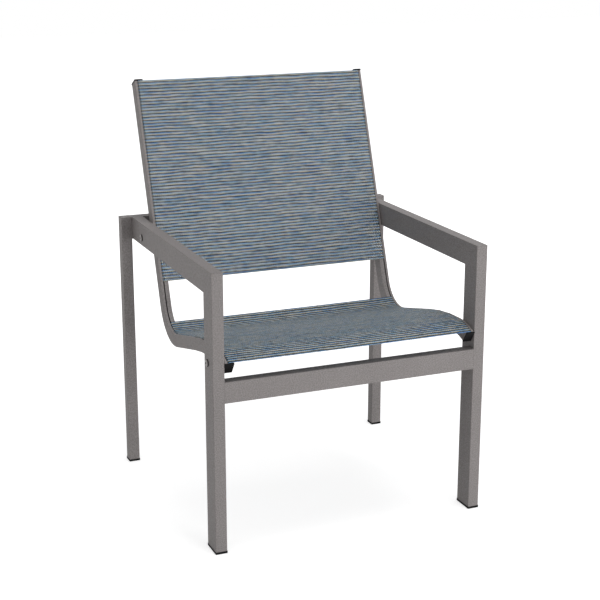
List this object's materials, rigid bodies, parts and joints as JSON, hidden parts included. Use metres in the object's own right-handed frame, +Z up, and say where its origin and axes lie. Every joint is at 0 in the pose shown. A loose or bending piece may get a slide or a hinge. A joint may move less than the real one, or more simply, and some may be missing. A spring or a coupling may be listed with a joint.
{
  "type": "sling patio chair",
  "caption": "Outdoor arm chair with a welded rectangular-tube frame, bent side rails and stretched striped mesh panels for the seat and the reclined back.",
  "frame": {"origin": "on the floor, under the middle of the chair's overall width and depth", "axes": "+Z up; the chair faces -Y, so the back leans towards +Y; +X is the right side as seen from the front, and left and right mirror each other across X = 0"},
  "size_m": [0.6976, 0.6422, 0.9464],
  "materials": {
    "frame_coat": "taupe-grey powder coat, fine texture, low sheen",
    "bolt_coat": "taupe-grey coat to match the frame",
    "sling_mesh": "woven coated yarn mesh, blue, grey and green stripes",
    "black_plastic": "black moulded plastic, satin",
    "spline_cord": "plain extruded cord",
    "zinc_steel": "zinc plated"
  },
  "bodies": {
    "root": {"left_front_leg": "frame_coat", "right_front_leg": "frame_coat", "left_arm": "frame_coat", "right_arm": "frame_coat", "left_rear_leg": "frame_coat", "right_rear_leg": "frame_coat", "left_rear_leg_cap": "frame_coat", "right_rear_leg_cap": "frame_coat", "front_crossbar": "frame_coat", "rear_crossbar": "frame_coat", "left_sling_rail": "frame_coat", "right_sling_rail": "frame_coat", "seat_spreader_bar": "frame_coat", "back_sling": "sling_mesh", "seat_sling": "sling_mesh", "left_rail_top_cap": "black_plastic", "left_rail_front_cap": "black_plastic", "left_front_glide": "black_plastic", "left_rear_glide": "black_plastic", "left_arm_spacer": "black_plastic", "left_leg_spacer": "black_plastic", "left_spreader_plug": "black_plastic", "right_rail_top_cap": "black_plastic", "right_rail_front_cap": "black_plastic", "right_front_glide": "black_plastic", "right_rear_glide": "black_plastic", "right_arm_spacer": "black_plastic", "right_leg_spacer": "black_plastic", "right_spreader_plug": "black_plastic", "left_arm_bolt": "bolt_coat", "left_leg_bolt": "bolt_coat", "right_arm_bolt": "bolt_coat", "right_leg_bolt": "bolt_coat", "left_arm_nut": "zinc_steel", "left_leg_nut": "zinc_steel", "right_arm_nut": "zinc_steel", "right_leg_nut": "zinc_steel", "left_back_spline": "spline_cord", "left_seat_spline": "spline_cord", "right_back_spline": "spline_cord", "right_seat_spline": "spline_cord"}
  },
  "joints": []
}
